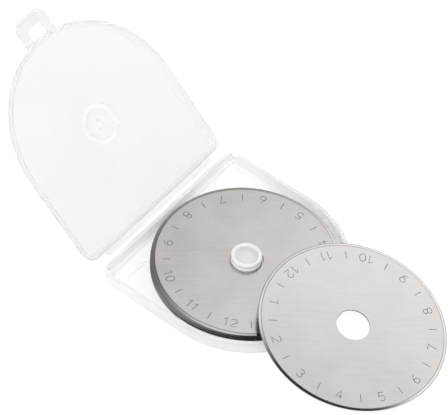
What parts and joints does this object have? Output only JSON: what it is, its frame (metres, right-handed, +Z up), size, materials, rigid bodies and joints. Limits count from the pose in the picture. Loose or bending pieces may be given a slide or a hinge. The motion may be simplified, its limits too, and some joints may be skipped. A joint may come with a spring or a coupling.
{
  "type": "rotary cutter blade case",
  "caption": "Clear hinged D-shaped case with a latch loop, storing a stack of round rotary cutter blades on a centre post, with a loose blade leaning on its front rim.",
  "frame": {"origin": "on the centre post's axis, at the underside of the tray", "axes": "+X from the hinge to the front catch, +Y along the hinge, +Z up"},
  "size_m": [0.1216, 0.0504, 0.0402],
  "materials": {
    "case_clear": "clear polished plastic",
    "web_frosted": "thin flexible clear plastic, slightly frosted",
    "post_clear": "clear polished plastic, thick",
    "blade_steel": "fine brushed steel with a ground bevel"
  },
  "bodies": {
    "tray": {"base_tray": "case_clear", "centre_post": "post_clear", "front_catch": "case_clear", "corner_rib": "case_clear", "hinge_web_base": "web_frosted"},
    "lid": {"lid_shell": "case_clear", "lid_boss_ring": "case_clear", "hinge_web_lid": "web_frosted"},
    "latch": {"latch_loop": "case_clear"},
    "blade_01": {"blade_01": "blade_steel"},
    "blade_02": {"blade_02": "blade_steel"},
    "blade_03": {"blade_03": "blade_steel"},
    "blade_04": {"blade_04": "blade_steel"},
    "blade_05": {"blade_05": "blade_steel"},
    "blade_06": {"blade_06": "blade_steel"},
    "blade_07": {"blade_07": "blade_steel"},
    "blade_08": {"blade_08": "blade_steel"},
    "blade_09": {"blade_09": "blade_steel"},
    "loose_blade": {"loose_blade": "blade_steel"}
  },
  "joints": [
    {"name": "lid_hinge", "type": "hinge", "parent": "tray", "child": "lid", "pos_m": [-0.0251, 0, 0.0037], "axis": [0, -1, 0], "range_deg": [-138, 0]},
    {"name": "latch_flex", "type": "hinge", "parent": "lid", "child": "latch", "pos_m": [-0.06414, 0, 0.0367], "axis": [0, -1, 0], "range_deg": [-90, 0]},
    {"name": "blade_01_lift", "type": "slide", "parent": "tray", "child": "blade_01", "axis": [0, 0, 1], "range_m": [0, 0.00618]},
    {"name": "blade_02_lift", "type": "slide", "parent": "blade_01", "child": "blade_02", "axis": [0, 0, 1], "range_m": [0, 0.00586]},
    {"name": "blade_03_lift", "type": "slide", "parent": "blade_02", "child": "blade_03", "axis": [0, 0, 1], "range_m": [0, 0.00554]},
    {"name": "blade_04_lift", "type": "slide", "parent": "blade_03", "child": "blade_04", "axis": [0, 0, 1], "range_m": [0, 0.00522]},
    {"name": "blade_05_lift", "type": "slide", "parent": "blade_04", "child": "blade_05", "axis": [0, 0, 1], "range_m": [0, 0.0049]},
    {"name": "blade_06_lift", "type": "slide", "parent": "blade_05", "child": "blade_06", "axis": [0, 0, 1], "range_m": [0, 0.00458]},
    {"name": "blade_07_lift", "type": "slide", "parent": "blade_06", "child": "blade_07", "axis": [0, 0, 1], "range_m": [0, 0.00426]},
    {"name": "blade_08_lift", "type": "slide", "parent": "blade_07", "child": "blade_08", "axis": [0, 0, 1], "range_m": [0, 0.00394]},
    {"name": "blade_09_lift", "type": "slide", "parent": "blade_08", "child": "blade_09", "axis": [0, 0, 1], "range_m": [0, 0.00362]},
    {"name": "loose_blade_turn", "type": "hinge", "parent": "blade_09", "child": "loose_blade", "pos_m": [0.05264, 0, 0.00011], "axis": [0, -1, 0], "range_deg": [-170.5, 0]}
  ],
  "couplings": [
    {"joint": "loose_blade_turn", "follows": "lid_hinge", "ratio": 1.2355}
  ]
}
